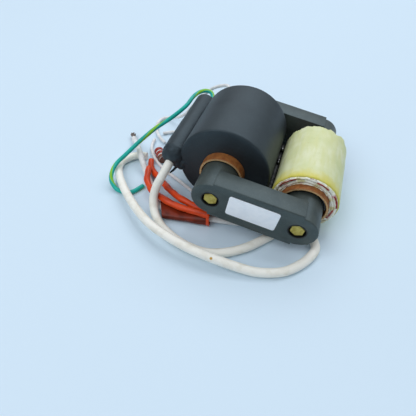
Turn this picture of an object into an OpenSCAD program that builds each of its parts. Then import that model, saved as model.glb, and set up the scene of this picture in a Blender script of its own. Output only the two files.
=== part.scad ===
// Ozone generator transformer: two round-legged ferrite halves, a potted secondary, a taped primary and
// their leads. Millimetres, +Z up, resting on both coils at Z = 0, with the legs along Y and the front at -Y.

/* [Core] */
// Gap between the two coils
coil_gap = 2.8; // [0.5:0.1:8]
// Diameter of the round legs
leg_d = 25; // [22:0.5:26]
// How far the yoke's flat bar stands proud of the round ends, on each side
yoke_step = 1.7; // [0:0.1:2.5]
// Thickness of each yoke
yoke_t = 13.2; // [11:0.2:18]
// Thickness of the gap spacers between the leg ends
gap_t = 0.8; // [0.2:0.1:2]
// Bevel round the outer face of each yoke
yoke_bevel = 0.5; // [0.2:0.1:1.2]

/* [Clamp screws] */
// Diameter of the brass clamp screws
screw_d = 5; // [4:0.5:6]
// Clearance round the screw in the leg's hole
screw_clear = 0.3; // [0.2:0.1:0.6]
// Hexagon head and nut, across the flats
hex_af = 9; // [8.8:0.1:9.6]
// Thickness of the hexagon head and nut
hex_t = 3.6; // [3:0.1:4.5]
// Diameter of the recess round the head and nut
recess_d = 12; // [11.8:0.1:14]
// Depth of the recess
recess_depth = 5.2; // [4.8:0.1:7]
// Wall of the black bush round the head and nut
bush_wall = 0.6; // [0.3:0.1:0.7]
// Floor of the black bush
bush_floor = 1; // [0.5:0.1:1.5]

/* [Secondary] */
// Diameter of the potted secondary
secondary_d = 62.6; // [60:0.2:66]
// Length of the potted secondary
secondary_len = 57; // [50:1:62]
// From the front yoke's inner face to the potted secondary
secondary_gap = 15; // [10:0.5:17]
// From the potted secondary to the rear yoke's inner face
secondary_rear_gap = 7; // [4:0.5:12]
// Radius of the rounded edges of the potting
potting_round = 1.4; // [0.5:0.1:3]
// Gap between the leg and the secondary's former
secondary_former_gap = 0.6; // [0.3:0.1:0.9]
// Wall of both formers
former_wall = 1.5; // [1:0.1:2]
// How far the secondary's former stands out of the potting at the front
secondary_former_out = 6.4; // [2:0.2:9]
// How far the secondary's former stands out of the potting at the back
secondary_former_back = 4; // [1:0.2:6]
// Number of pies that the secondary winding is split into
pie_count = 6; // [3:1:8]
// Potting over the winding's pies
pie_cover = 7.7; // [4:0.1:12]
// Wall of potting between the pies, and at both ends
pie_wall = 2; // [1:0.2:4]

/* [Moulded lead exit] */
// Diameter of the lead exit along the side of the potting
exit_d = 17; // [14:0.5:20]
// How far the lead exit's axis lies outside the potting
exit_out = 4.9; // [2:0.1:6]
// Where the lead exit lies round the leg, counted from the line to the other leg
exit_angle = 186; // [170:1:200]
// How far the lead exit's front end lies behind the potting's front face
exit_set_back = 1.2; // [0.5:0.1:10]
// How far the lead exit stands out behind the potting
exit_back = 14; // [5:0.5:20]
// Radius of the rounded ends of the lead exit
exit_round = 2; // [0.5:0.1:4]

/* [Primary] */
// Diameter over the primary's tape
primary_d = 43.8; // [41:0.2:46]
// Length of the primary's tape
primary_len = 54; // [46:1:58]
// From the front yoke's inner face to the primary's tape
primary_gap = 13; // [10:0.5:16]
// From the primary's tape to the rear yoke's inner face
primary_rear_gap = 12; // [8:0.5:16]
// Gap between the leg and the primary's former, filled by the adhesive
primary_former_gap = 1.8; // [1:0.1:2.2]
// How far the primary's former stands out of the tape at each end
primary_former_out = 5; // [2:0.2:8]
// Thickness of the outer tape
tape_t = 1; // [0.5:0.1:1.5]
// Thickness of the white wrap under the tape
wrap_t = 1.4; // [0.8:0.1:2]
// How far the white wrap stands out of the tape at each end
wrap_out = 1; // [0.4:0.1:2]
// Thickness of the red strip under the white wrap
strip_t = 0.8; // [0.4:0.1:1.2]
// How far the red strip stands out of the tape at each end
strip_out = 1.8; // [0.8:0.1:3]
// Length of the adhesive beads along the leg
bead_len = 4; // [2:0.5:6]

/* [Label] */
// Length of the bare label on the front yoke
label_len = 32; // [25:0.5:34]
// Height of the label
label_h = 16; // [9:0.5:20]
// Thickness of the label
label_t = 0.3; // [0.1:0.05:0.5]
// Radius of the label's corners
label_round = 1.6; // [0.5:0.1:3]
// How far the label sits above the middle of the yoke
label_up = 1.4; // [-2:0.1:3]
// How far the label sits to the side of the middle
label_side = -0.8; // [-4:0.1:4]

/* [Lead hardware] */
// Length of the flat orange sleeve
sleeve_len = 35.5; // [30:0.5:40]
// Width of the flat orange sleeve at its open end
sleeve_w = 16.5; // [10:0.5:17]
// Width of the flat orange sleeve inside its collar
neck_w = 8; // [8:0.1:10]
// Height of the flat orange sleeve
sleeve_h = 6; // [5.8:0.2:8]
// Wall of the flat orange sleeve
sleeve_wall = 0.6; // [0.4:0.1:0.6]
// Length of the collar round the sleeve's end
collar_len = 4; // [2:0.5:6]
// Wall of the collar
collar_wall = 0.7; // [0.5:0.1:1.2]
// Length of the red ribbed splice
splice_len = 13; // [10:0.5:18]
// Diameter of the red ribbed splice over its ribs
splice_d = 7.6; // [6:0.2:9]
// Number of ribs round the splice
splice_ribs = 3; // [2:1:5]
// Depth of the grooves between the ribs
splice_groove = 0.8; // [0.4:0.1:1.2]

/* [Hidden] */
$fn = 96;
eps = 0.01;
thread_fit = 0.05;
label_fn = 32;

// The core follows the coils: its window takes the deeper one, and its legs stand apart by both
leg_spacing = (secondary_d + primary_d) / 2 + coil_gap;
window_depth = max(secondary_gap + secondary_len + secondary_rear_gap,
                   primary_gap + primary_len + primary_rear_gap);
core_depth = window_depth + 2 * yoke_t;
front_y = -core_depth / 2;
inner_y = front_y + yoke_t;
leg_r = leg_d / 2;
leg_len = (window_depth - gap_t) / 2;
bar_h = leg_d + 2 * yoke_step;
core_tilt = asin((secondary_d - primary_d) / 2 / leg_spacing);
core_z = (secondary_d + primary_d) / 4;
hole_r = screw_d / 2 + screw_clear;
recess_r = recess_d / 2;
head_y = front_y + recess_depth - bush_floor;
hex_r = hex_af / 2 / cos(30);
hex_chamfer = 0.5;
screw_proud = 0.4;

secondary_y = inner_y + secondary_gap;
secondary_former_r = leg_r + secondary_former_gap;
secondary_bore_r = secondary_former_r + former_wall;
secondary_former_len = secondary_former_out + secondary_len + secondary_former_back;
pie_pitch = (secondary_len - pie_wall) / pie_count;
pie_depth = secondary_d / 2 - secondary_bore_r - pie_cover;
exit_offset = secondary_d / 2 + exit_out;
exit_y = secondary_y + exit_set_back;
exit_len = secondary_len - exit_set_back + exit_back;

primary_y = inner_y + primary_gap;
primary_former_r = leg_r + primary_former_gap;
primary_bore_r = primary_former_r + former_wall;
tape_r = primary_d / 2;
wrap_r = tape_r - tape_t;
strip_r = wrap_r - wrap_t;
winding_r = strip_r - strip_t;
bead_set_back = 2;
// Where each bead starts round the leg, and how far it runs, in degrees
beads = [[12, 74], [98, 52], [-62, 50]];

// Blade of flash: how far its root lies inside the potting's side and behind the exit's end, and its sizes
flash_in = 0.403;
flash_back = 3.3;
flash_turn = 234;
flash_len = 11;
flash_t = 0.8;

// The origin lies under the middle of the box round everything but the leads
left_x = -leg_spacing / 2 * cos(core_tilt) + exit_offset * cos(exit_angle - core_tilt) - exit_d / 2;
right_x = leg_spacing / 2 * cos(core_tilt) + primary_d / 2;
origin = [(left_x + right_x) / 2, -label_t / 2, 0];

// The sleeve lies on the table from its open end to its collar
sleeve_x = -65;
sleeve_y = -46;
neck_y = -44.4;
// Turn of the sleeve's open end, which is cut askew
sleeve_cut = 25;
neck_z = 0.8;
collar_h = 11.6;
collar_w = 10.2;

// The splice lies on the table, turned towards the lead exit
splice_at = [-88.4, 7.4, 0];
splice_turn = -57;

// Diameters of the leads
hv_d = 6;
earth_d = 3.2;
white_d = 4.5;
orange_d = 4;
thin_d = 2.6;

// Routes of the leads, point by point
hv_route = [[-65.2, -23.3, 30.6], [-66, -29.6, 28.4], [-68.2, -35.3, 23.3], [-70.9, -39.9, 17],
            [-71.6, -44.6, 11], [-69.4, -50, 6], [-64.8, -56, 3.4], [-57.6, -61.9, 3], [-46.8, -67.6, 3],
            [-34.6, -71.2, 3], [-21.8, -71.4, 3], [-9.4, -66.2, 3], [0.4, -58.8, 3], [9.2, -49.2, 3],
            [14.8, -42.6, 3], [20.4, -37.4, 3], [27.6, -35, 3], [34.8, -36.6, 3], [40, -41.4, 3],
            [41.6, -47.6, 3], [38.8, -55.2, 3], [33.2, -63.2, 3], [24, -71, 3], [9.5, -75.8, 3.2],
            [-6.1, -77.2, 5.6], [-20.8, -77.4, 8.1], [-35, -75.8, 9.2], [-49, -72.4, 9.8], [-64.1, -66.5, 9.6],
            [-79, -56.6, 8.6], [-96, -41.6, 7.4], [-108.4, -27.4, 5.6], [-114.6, -17.4, 4], [-116, -9.4, 3],
            [-112.2, -2.4, 3], [-106.4, 1.8, 3], [-100.2, 2.8, 3]];
earth_route = [[-59.6, 46.5, 36.4], [-60, 50.8, 37.4], [-62.6, 54.2, 38.6], [-67.4, 54.8, 38.8],
               [-72.2, 51.8, 38], [-74.6, 44.5, 37.4], [-76.6, 33.6, 35.4], [-84, 21.6, 31],
               [-94.5, 10.4, 25.3], [-103.6, -1.4, 18.6], [-110.4, -11.4, 12.8], [-113.4, -20.5, 10.9],
               [-113.2, -28.6, 9.4], [-111.6, -34.2, 6], [-106.8, -37.6, 2], [-100.4, -38.6, 1.6],
               [-93.9, -36.6, 1.6], [-88.8, -27.9, 1.6]];
white_route = [[-124.5, 26.5, 2.4], [-118.5, 17.5, 3.2], [-112, 9.6, 7.4], [-104.5, 0, 10], [-98, -8.4, 6.2],
               [-92, -15.5, 2.6], [-85, -24, 2.4], [-77.2, -34.8, 2.4], [-66.9, -44.2, 2.95], [-52, -45.2, 3.25],
               [-38, -44.8, 3.6], [-29, -44.4, 3.7], [-18, -42.4, 2.9], [-8, -40.6, 2.6], [3, -39.6, 3.4],
               [9.5, -36.4, 5.6], [13.4, -32.4, 8], [14.4, -28.3, 8.7]];
orange_route_a = [[-95, 0.2, 2.1], [-92.2, -6, 2.1], [-86, -13.8, 3.5], [-78.6, -20.4, 5.6],
                  [-71.7, -26.4, 7.2], [-64.3, -32.2, 8.5], [-55.5, -37.8, 9.6], [-47, -40.8, 9.7],
                  [-39.5, -42.1, 9.2], [-31, -42.3, 8.85]];
orange_route_b = [[-90.2, -13.4, 6.9], [-88.4, -19.6, 7.3], [-85.6, -26.4, 7.4], [-79.9, -33.7, 7.4],
                  [-74.9, -37.4, 7.7], [-68.8, -40.5, 8.5], [-62.1, -43.2, 8.9], [-54.5, -45.2, 9.1],
                  [-46, -46.2, 9.1], [-38.5, -46.5, 9], [-31, -46.5, 8.85]];
thin_route_a = [[-46, 32.5, 48], [-45.4, 41, 47.8], [-46.3, 51, 46.2], [-50.4, 59, 44], [-56.6, 62.4, 41],
                [-63.8, 63.4, 37], [-70.4, 61.6, 31.6], [-76, 58, 26], [-81.5, 55.6, 19.5], [-87, 55.4, 12.5],
                [-93.4, 56.6, 7.4], [-101.4, 59.6, 3.6], [-108.2, 59.2, 1.8], [-111.6, 54.2, 1.5],
                [-111, 47, 1.5], [-107.4, 38.4, 1.5], [-101, 30.6, 1.5], [-94, 25.2, 1.5]];
thin_route_b = [[-46, 32.5, 13], [-47.4, 38, 12], [-53, 42, 6.6], [-62, 43.6, 2], [-74, 43.4, 1.5],
                [-84, 44.4, 1.5], [-93, 42, 1.5], [-101, 37, 1.5]];
thin_route_c = [[-104.5, 27, 1.5], [-102.8, 18, 1.5], [-98, 9.2, 1.5], [-89.6, 0.4, 1.5], [-79.5, -7, 1.5],
                [-66, -14, 1.5], [-50, -22.5, 1.5], [-33, -31, 1.5], [-16, -34.8, 1.5], [-3, -35.2, 2.2],
                [5, -34.8, 6.2], [9.5, -32.4, 11.4], [10.7, -28.3, 14]];

// Move into the object's own frame, which has its origin under the middle
module placed() {
    translate(-origin) children();
}

// Seat in the core's own frame: X from leg to leg, Y along the legs, Z square to both
module in_core() {
    placed() translate([0, 0, core_z]) rotate([0, core_tilt, 0]) children();
}

// Seat on the axis of the left leg (side -1) or of the right leg (side 1)
module on_leg(side) {
    in_core() translate([side * leg_spacing / 2, 0, 0]) children();
}

// Stand a shape that was drawn upwards along Y instead, with its base at y0 and its top towards the back
module along_y(y0) {
    translate([0, y0, 0]) rotate([-90, 0, 0]) children();
}

// A rod or, with an inner radius, a ring along Y
module ring(y0, len, r_out, r_in = 0) {
    along_y(y0) difference() {
        cylinder(h = len, r = r_out);
        if (r_in > 0) translate([0, 0, -eps]) cylinder(h = len + 2 * eps, r = r_in);
    }
}

// Points of a quarter round of radius e about c, from angle a0 on
function quarter(c, e, a0, n = 6) = [for (i = [0 : n]) c + e * [cos(a0 + 90 * i / n), sin(a0 + 90 * i / n)]];

// A rod along Y with rounded ends
module round_rod(y0, len, r, e) {
    along_y(y0) rotate_extrude()
        polygon(concat([[0, 0]], quarter([r - e, e], e, -90), quarter([r - e, len - e], e, 0), [[0, len]]));
}

// A rounded rectangle, w by h, with corner radius e
module round_rect(w, h, e) {
    square([w, h - 2 * e], center = true);
    square([w - 2 * e, h], center = true);
    for (x = [-1, 1], y = [-1, 1]) translate([x * (w / 2 - e), y * (h / 2 - e)]) circle(e, $fn = label_fn);
}

// The section of a flat sleeve: straight top and bottom, round sides
module flat_oval(w, h) {
    square([w - h, h], center = true);
    for (x = [-1, 1]) translate([x * (w - h) / 2, 0]) circle(h / 2, $fn = label_fn);
}

// Unit vector, direction of a route at one of its points, and the ring of points round it
function unit(v) = v / norm(v);
function heading(p, i, first, last) = i == 0 && first != undef ? first
    : i == len(p) - 1 && last != undef ? last
    : unit(p[min(i + 1, len(p) - 1)] - p[max(i - 1, 0)]);
function hoop(c, t, r, n) = let (s = unit(cross(t, [0, 0, 1])), u = cross(s, t))
    [for (k = [0 : n - 1]) c + r * (s * cos(360 * k / n) + u * sin(360 * k / n))];

// A lead: one tube swept along its route; first and last turn its end faces square to what they meet
module lead(route, d, n, first = undef, last = undef) {
    rings = len(route);
    points = [for (i = [0 : rings - 1]) each hoop(route[i], heading(route, i, first, last), d / 2, n)];
    sides = [for (i = [0 : rings - 2], k = [0 : n - 1])
        [i * n + k, i * n + (k + 1) % n, (i + 1) * n + (k + 1) % n, (i + 1) * n + k]];
    start = [for (k = [0 : n - 1]) n - 1 - k];
    end = [for (k = [0 : n - 1]) (rings - 1) * n + k];
    placed() polyhedron(points, concat(sides, [start, end]));
}

// Half of the core: two round legs and the flat bar between them, bored for the clamp screws
module core_half() {
    difference() {
        union() {
            for (side = [-1, 1]) translate([side * leg_spacing / 2, 0, 0]) along_y(front_y)
                rotate_extrude() polygon([[0, 0], [leg_r - yoke_bevel, 0], [leg_r, yoke_bevel],
                    [leg_r, yoke_t + leg_len], [0, yoke_t + leg_len]]);
            translate([-leg_spacing / 2, front_y, 0]) rotate([90, 0, 90]) linear_extrude(leg_spacing)
                polygon([[0, yoke_bevel - bar_h / 2], [yoke_bevel, -bar_h / 2], [yoke_t, -bar_h / 2],
                    [yoke_t, bar_h / 2], [yoke_bevel, bar_h / 2], [0, bar_h / 2 - yoke_bevel]]);
        }
        for (side = [-1, 1]) translate([side * leg_spacing / 2, 0, 0]) {
            ring(front_y - eps, yoke_t + leg_len + 2 * eps, hole_r);
            ring(front_y - eps, recess_depth + eps, recess_r);
        }
    }
}

module core_front() {
    color("#4a504e") in_core() core_half();
}

module core_rear() {
    color("#4a504e") in_core() mirror([0, 1, 0]) core_half();
}

module gap_spacer(side) {
    color("#d8d2bc") on_leg(side) ring(-gap_t / 2, gap_t, leg_r, hole_r);
}

// Hexagon along Y, chamfered at its outer corners
module hexagon(y0) {
    intersection() {
        along_y(y0) cylinder(h = hex_t, r = hex_r, $fn = 6);
        along_y(y0) rotate_extrude() polygon([[0, 0], [hex_r - hex_chamfer, 0], [hex_r + eps, hex_chamfer],
            [hex_r + eps, hex_t], [0, hex_t]]);
    }
}

// Brass screw: the head lies in the front recess, the end comes through the nut at the back
module clamp_screw(side) {
    color("#c9b45a") on_leg(side) {
        hexagon(head_y - hex_t);
        ring(head_y - eps, 2 * abs(head_y) + hex_t + screw_proud, screw_d / 2);
    }
}

module clamp_nut(side) {
    color("#c9b45a") on_leg(side) mirror([0, 1, 0]) difference() {
        hexagon(head_y - hex_t);
        ring(head_y - hex_t - eps, hex_t + 2 * eps, screw_d / 2 + thread_fit);
    }
}

// Black cup between the brass hexagon and the recess in the ferrite
module bush() {
    difference() {
        ring(front_y, recess_depth, recess_r);
        ring(front_y - eps, recess_depth - bush_floor + eps, recess_r - bush_wall);
        ring(front_y, recess_depth + eps, hole_r);
    }
}

module head_bush(side) {
    color("#151515") on_leg(side) bush();
}

module nut_bush(side) {
    color("#151515") on_leg(side) mirror([0, 1, 0]) bush();
}

module secondary_former() {
    color("#a5683a") on_leg(-1)
        ring(secondary_y - secondary_former_out, secondary_former_len, secondary_bore_r, secondary_former_r);
}

// One pie of the winding after another, wound on the former
module pies(grow = 0) {
    for (i = [0 : pie_count - 1]) ring(secondary_y + pie_wall + i * pie_pitch - grow,
        pie_pitch - pie_wall + 2 * grow, secondary_bore_r + pie_depth + grow, secondary_bore_r);
}

module secondary_winding() {
    color("#b5653a") on_leg(-1) pies();
}

// Thin blade of flash that hangs from the crease between the potting and its lead exit
module flash() {
    placed() translate([-leg_spacing / 2 * cos(core_tilt) - secondary_d / 2 + flash_in, exit_y + flash_back,
                        secondary_d / 2])
        rotate([90, 0, flash_turn]) translate([0, 0, -flash_t / 2]) linear_extrude(flash_t)
            polygon([[0, -1.3], [0, -5.8], [flash_len, -9.3], [flash_len, -8.7]]);
}

// Potted body, with the lead exit moulded along its side
module secondary_potting() {
    color("#2c3135") flash();
    color("#2c3135") on_leg(-1) difference() {
        union() {
            round_rod(secondary_y, secondary_len, secondary_d / 2, potting_round);
            rotate([0, -exit_angle, 0]) translate([exit_offset, 0, 0])
                round_rod(exit_y, exit_len, exit_d / 2, exit_round);
        }
        ring(secondary_y - eps, secondary_len + 2 * eps, secondary_bore_r);
        pies();
    }
}

module primary_former() {
    color("#a5683a") on_leg(1) ring(primary_y - primary_former_out, primary_len + 2 * primary_former_out,
        primary_bore_r, primary_former_r);
}

module primary_winding() {
    color("#b5653a") on_leg(1) ring(primary_y, primary_len, winding_r, primary_bore_r);
}

module primary_strip() {
    color("#a8322a") on_leg(1) ring(primary_y - strip_out, primary_len + 2 * strip_out, strip_r, winding_r);
}

module primary_wrap() {
    color("#efece0") on_leg(1) ring(primary_y - wrap_out, primary_len + 2 * wrap_out, wrap_r, strip_r);
}

module primary_tape() {
    color("#dfe3b4") on_leg(1) ring(primary_y, primary_len, tape_r, wrap_r);
}

// Beads of black adhesive between a leg and a former, at both ends; the former runs from y0 to y1
module beads_round(side, y0, y1, thick) {
    color("#101214") on_leg(side) for (y = [y0, y1 - bead_len], b = beads)
        along_y(y) rotate([0, 0, b[0]]) rotate_extrude(angle = b[1])
            translate([leg_r, 0]) square([thick, bead_len]);
}

module secondary_beads() {
    beads_round(-1, secondary_y - secondary_former_out + bead_set_back,
        secondary_y + secondary_len + secondary_former_back - bead_set_back, secondary_former_gap);
}

module primary_beads() {
    beads_round(1, primary_y - primary_former_out + bead_set_back,
        primary_y + primary_len + primary_former_out - bead_set_back, primary_former_gap);
}

module rating_label() {
    color("#f2f4f6") in_core() translate([label_side, front_y, label_up]) rotate([90, 0, 0])
        linear_extrude(label_t) round_rect(label_len, label_h, label_round);
}

module hv_lead() {
    color("#ebe6d8") lead(hv_route, hv_d, 12, first = [0, -1, 0]);
}

module earth_lead() {
    color("#2f9c86") lead(earth_route, earth_d, 8, first = [0, 1, 0]);
}

module white_lead() {
    color("#e9e7e2") lead(white_route, white_d, 10, last = [0, 1, 0]);
}

module orange_lead_a() {
    color("#e8502a") lead(orange_route_a, orange_d, 10, last = [1, 0, 0]);
}

module orange_lead_b() {
    color("#e8502a") lead(orange_route_b, orange_d, 10, last = [1, 0, 0]);
}

module thin_lead_a() {
    color("#eceae6") lead(thin_route_a, thin_d, 8, first = [0, 1, 0]);
}

module thin_lead_b() {
    color("#eceae6") lead(thin_route_b, thin_d, 8, first = [0, 1, 0]);
}

module thin_lead_c() {
    color("#eceae6") lead(thin_route_c, thin_d, 8, last = [0, 1, 0]);
}

// A thin slice of the flat sleeve, square to X before its turn
module sleeve_slice(x, y, z, w, h, turn = 0) {
    placed() translate([x, y, z]) rotate([90, 0, 90 + turn]) linear_extrude(eps) flat_oval(w, h);
}

// The sleeve's outer or, with its wall taken off, inner form, from its open end to its neck
module sleeve_form(wall, over) {
    hull() {
        sleeve_slice(sleeve_x - over, sleeve_y, sleeve_h / 2, sleeve_w - 2 * wall, sleeve_h - 2 * wall,
            sleeve_cut);
        sleeve_slice(sleeve_x + sleeve_len + over - eps, neck_y, sleeve_h / 2 + neck_z,
            neck_w - 2 * wall, sleeve_h - 2 * wall);
    }
}

module orange_sleeve() {
    color("#93361f") difference() {
        sleeve_form(0, 0);
        sleeve_form(sleeve_wall, eps);
    }
}

module sleeve_collar() {
    color("#a8401f") placed() translate([sleeve_x + sleeve_len - collar_len / 2, neck_y, collar_h / 2])
        rotate([90, 0, 90]) linear_extrude(collar_len) difference() {
            round_rect(collar_w, collar_h, collar_w / 4);
            round_rect(collar_w - 2 * collar_wall, collar_h - 2 * collar_wall, collar_w / 4 - collar_wall);
        }
}

// Ribbed red splice: broad ribs with grooves between them, closed at one end
module red_splice() {
    r = splice_d / 2;
    pitch = splice_len / splice_ribs;
    groove_w = pitch / 4;
    color("#b23a2a") placed() translate(splice_at + [0, 0, r]) rotate([0, 0, splice_turn]) rotate([0, 90, 0])
        translate([0, 0, -splice_len / 2]) rotate_extrude() polygon(concat([[0, 0]],
            [for (i = [0 : splice_ribs - 1], q = [[r - splice_groove, 0], [r - splice_groove, groove_w / 2],
                [r, groove_w], [r, pitch - groove_w / 2], [r - splice_groove, pitch - eps]])
                [q[0], i * pitch + q[1]]],
            [[0, splice_len - eps]]));
}

core_front();
core_rear();
gap_spacer(-1);  // gap_spacer_left
gap_spacer(1);  // gap_spacer_right
clamp_screw(-1);  // clamp_screw_left
clamp_screw(1);  // clamp_screw_right
clamp_nut(-1);  // clamp_nut_left
clamp_nut(1);  // clamp_nut_right
head_bush(-1);  // head_bush_left
head_bush(1);  // head_bush_right
nut_bush(-1);  // nut_bush_left
nut_bush(1);  // nut_bush_right
secondary_former();
secondary_winding();
secondary_potting();
primary_former();
primary_winding();
primary_strip();
primary_wrap();
primary_tape();
secondary_beads();
primary_beads();
rating_label();
hv_lead();
earth_lead();
white_lead();
orange_lead_a();
orange_lead_b();
thin_lead_a();
thin_lead_b();
thin_lead_c();
orange_sleeve();
sleeve_collar();
red_splice();
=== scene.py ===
# Ozone generator transformer: round-legged ferrite core, potted high-voltage coil, taped primary and their leads.
# Pieces are modelled in millimetres and put into the model's own frame, in metres, as each one is finished.

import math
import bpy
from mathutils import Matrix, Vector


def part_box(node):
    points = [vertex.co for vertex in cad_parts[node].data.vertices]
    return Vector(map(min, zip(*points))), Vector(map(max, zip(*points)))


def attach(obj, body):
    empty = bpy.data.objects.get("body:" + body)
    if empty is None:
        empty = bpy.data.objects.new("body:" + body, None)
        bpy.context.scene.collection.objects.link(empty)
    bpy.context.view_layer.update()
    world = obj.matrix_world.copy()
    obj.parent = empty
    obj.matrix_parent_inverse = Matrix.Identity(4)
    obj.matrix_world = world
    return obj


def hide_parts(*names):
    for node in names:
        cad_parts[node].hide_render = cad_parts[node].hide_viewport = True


bl_info = {
    "name": "Ozone Generator Transformer",
    "version": (1, 0, 0),
    "blender": (4, 5, 0),
    "location": "View3D > Sidebar > Transformer",
    "description": "Builds a high-voltage transformer with a potted coil, a taped coil and loose leads",
    "category": "Add Mesh",
}

import bmesh
import bpy
from bpy.props import FloatProperty, FloatVectorProperty, IntProperty, PointerProperty
from mathutils import Matrix, Vector, kdtree, noise

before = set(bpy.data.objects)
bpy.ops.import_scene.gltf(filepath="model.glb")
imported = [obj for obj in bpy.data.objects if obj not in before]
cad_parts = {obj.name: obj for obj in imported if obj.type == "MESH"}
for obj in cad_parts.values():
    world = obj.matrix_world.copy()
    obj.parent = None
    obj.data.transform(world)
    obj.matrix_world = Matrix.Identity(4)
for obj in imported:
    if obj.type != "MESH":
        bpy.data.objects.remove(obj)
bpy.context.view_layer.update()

MM = 0.001
PICTURE_SIDE = 416
SENSOR_WIDTH = 36.0


def middle_of(node):
    """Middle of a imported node's box, in millimetres."""
    low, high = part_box(node)
    return (low + high) / 2 / MM


# Axes of the two legs, and the tilt of the core from one to the other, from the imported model
LEFT_LEG = middle_of("gap_spacer_left")
RIGHT_LEG = middle_of("gap_spacer_right")
LEG_SPACING = (RIGHT_LEG - LEFT_LEG).length
CORE_TILT = math.asin((LEFT_LEG.z - RIGHT_LEG.z) / LEG_SPACING)
CORE_MIDDLE = (LEFT_LEG + RIGHT_LEG) / 2
TILTED = Matrix.Rotation(CORE_TILT, 4, "Y")
ON_LEFT_LEG = Matrix.Translation(LEFT_LEG) @ TILTED
ON_RIGHT_LEG = Matrix.Translation(RIGHT_LEG) @ TILTED
IN_CORE = Matrix.Translation(CORE_MIDDLE) @ TILTED
# The routes are counted from the middle of the core, on the table
ORIGIN = Vector((CORE_MIDDLE.x, CORE_MIDDLE.y, 0.0))

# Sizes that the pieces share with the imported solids, along the legs and out from their axes
LEG_R = 12.5
FRONT_Y = -52.7
INNER_Y = -39.5
POTTING_FRONT = -24.5
POTTING_BACK = 32.5
POTTING_R = 31.3
EXIT_FRONT = -23.3
EXIT_BACK = 46.5
EXIT_R = 8.5
EXIT_OFFSET = 36.2
EXIT_ANGLE = 186.0
TAPE_FRONT = -26.5
TAPE_BACK = 27.5
TAPE_R = 21.9
FORMER_WALL = 1.5


# Sizes and colours that a user would change

class CameraSettings(bpy.types.PropertyGroup):
    azimuth: FloatProperty(name="Azimuth", description="Direction the camera stands in, from the front",
                           default=math.radians(19.12), unit="ROTATION")
    elevation: FloatProperty(name="Elevation", description="Height of the camera above the horizon",
                             default=math.radians(47.86), unit="ROTATION")
    distance: FloatProperty(name="Distance", description="From the camera to the point it looks at",
                            default=0.31137, unit="LENGTH", precision=4)
    aim_x: FloatProperty(name="Aim X", description="Point the camera looks at, across the core", default=-0.04702,
                         unit="LENGTH", precision=4)
    aim_z: FloatProperty(name="Aim Z", description="Point the camera looks at, above the table", default=-0.03818,
                         unit="LENGTH", precision=4)
    focal: FloatProperty(name="Focal length", description="Focal length, in pixels of the photograph",
                         default=362.17)
    roll: FloatProperty(name="Roll", description="Turn of the picture about the line of sight",
                        default=math.radians(-0.41), unit="ROTATION")


class CoilSettings(bpy.types.PropertyGroup):
    steps: IntProperty(name="Steps", description="Faces round a coil", default=160, min=32, max=256)
    crumple: FloatProperty(name="Crumple", description="How far the white wrap is crumpled",
                           default=0.45 * MM, unit="LENGTH", precision=5)
    fringe: FloatProperty(name="Fringe", description="How ragged the ends of the yellow tape are",
                          default=0.55 * MM, unit="LENGTH", precision=5)
    waviness: FloatProperty(name="Waviness", description="How uneven the moulded resin is",
                            default=0.12 * MM, unit="LENGTH", precision=5)


class LeadSettings(bpy.types.PropertyGroup):
    hv_thickness: FloatProperty(name="High-voltage lead", description="Diameter of the high-voltage lead",
                                default=6 * MM, unit="LENGTH", precision=4)
    earth_thickness: FloatProperty(name="Earth lead", description="Diameter of the green and yellow lead",
                                   default=3.2 * MM, unit="LENGTH", precision=4)
    white_thickness: FloatProperty(name="White lead", description="Diameter of the stout white lead",
                                   default=4.5 * MM, unit="LENGTH", precision=4)
    orange_thickness: FloatProperty(name="Orange leads", description="Diameter of the two orange leads",
                                    default=4 * MM, unit="LENGTH", precision=4)
    thin_thickness: FloatProperty(name="Thin leads", description="Diameter of the thin white leads",
                                  default=2.6 * MM, unit="LENGTH", precision=4)


class StageSettings(bpy.types.PropertyGroup):
    sky_light: FloatProperty(name="Sky", description="Strength of the even light from all round", default=0.4)
    lamp_watts: FloatProperty(name="Softbox", description="Power of the wide softbox behind", default=31.0)
    lamp_size: FloatProperty(name="Softbox size", description="Width of the softbox", default=3.0, unit="LENGTH")
    fill_watts: FloatProperty(name="Fill", description="Power of the softbox in front, on the left", default=15.0)
    glint_watts: FloatProperty(name="Small lamp", description="Power of the small lamp that gives the glints",
                               default=0.8)
    table: FloatVectorProperty(name="Table", description="Colour of the table top", subtype="COLOR", size=3,
                               default=(0.65, 0.775, 0.865))


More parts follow.
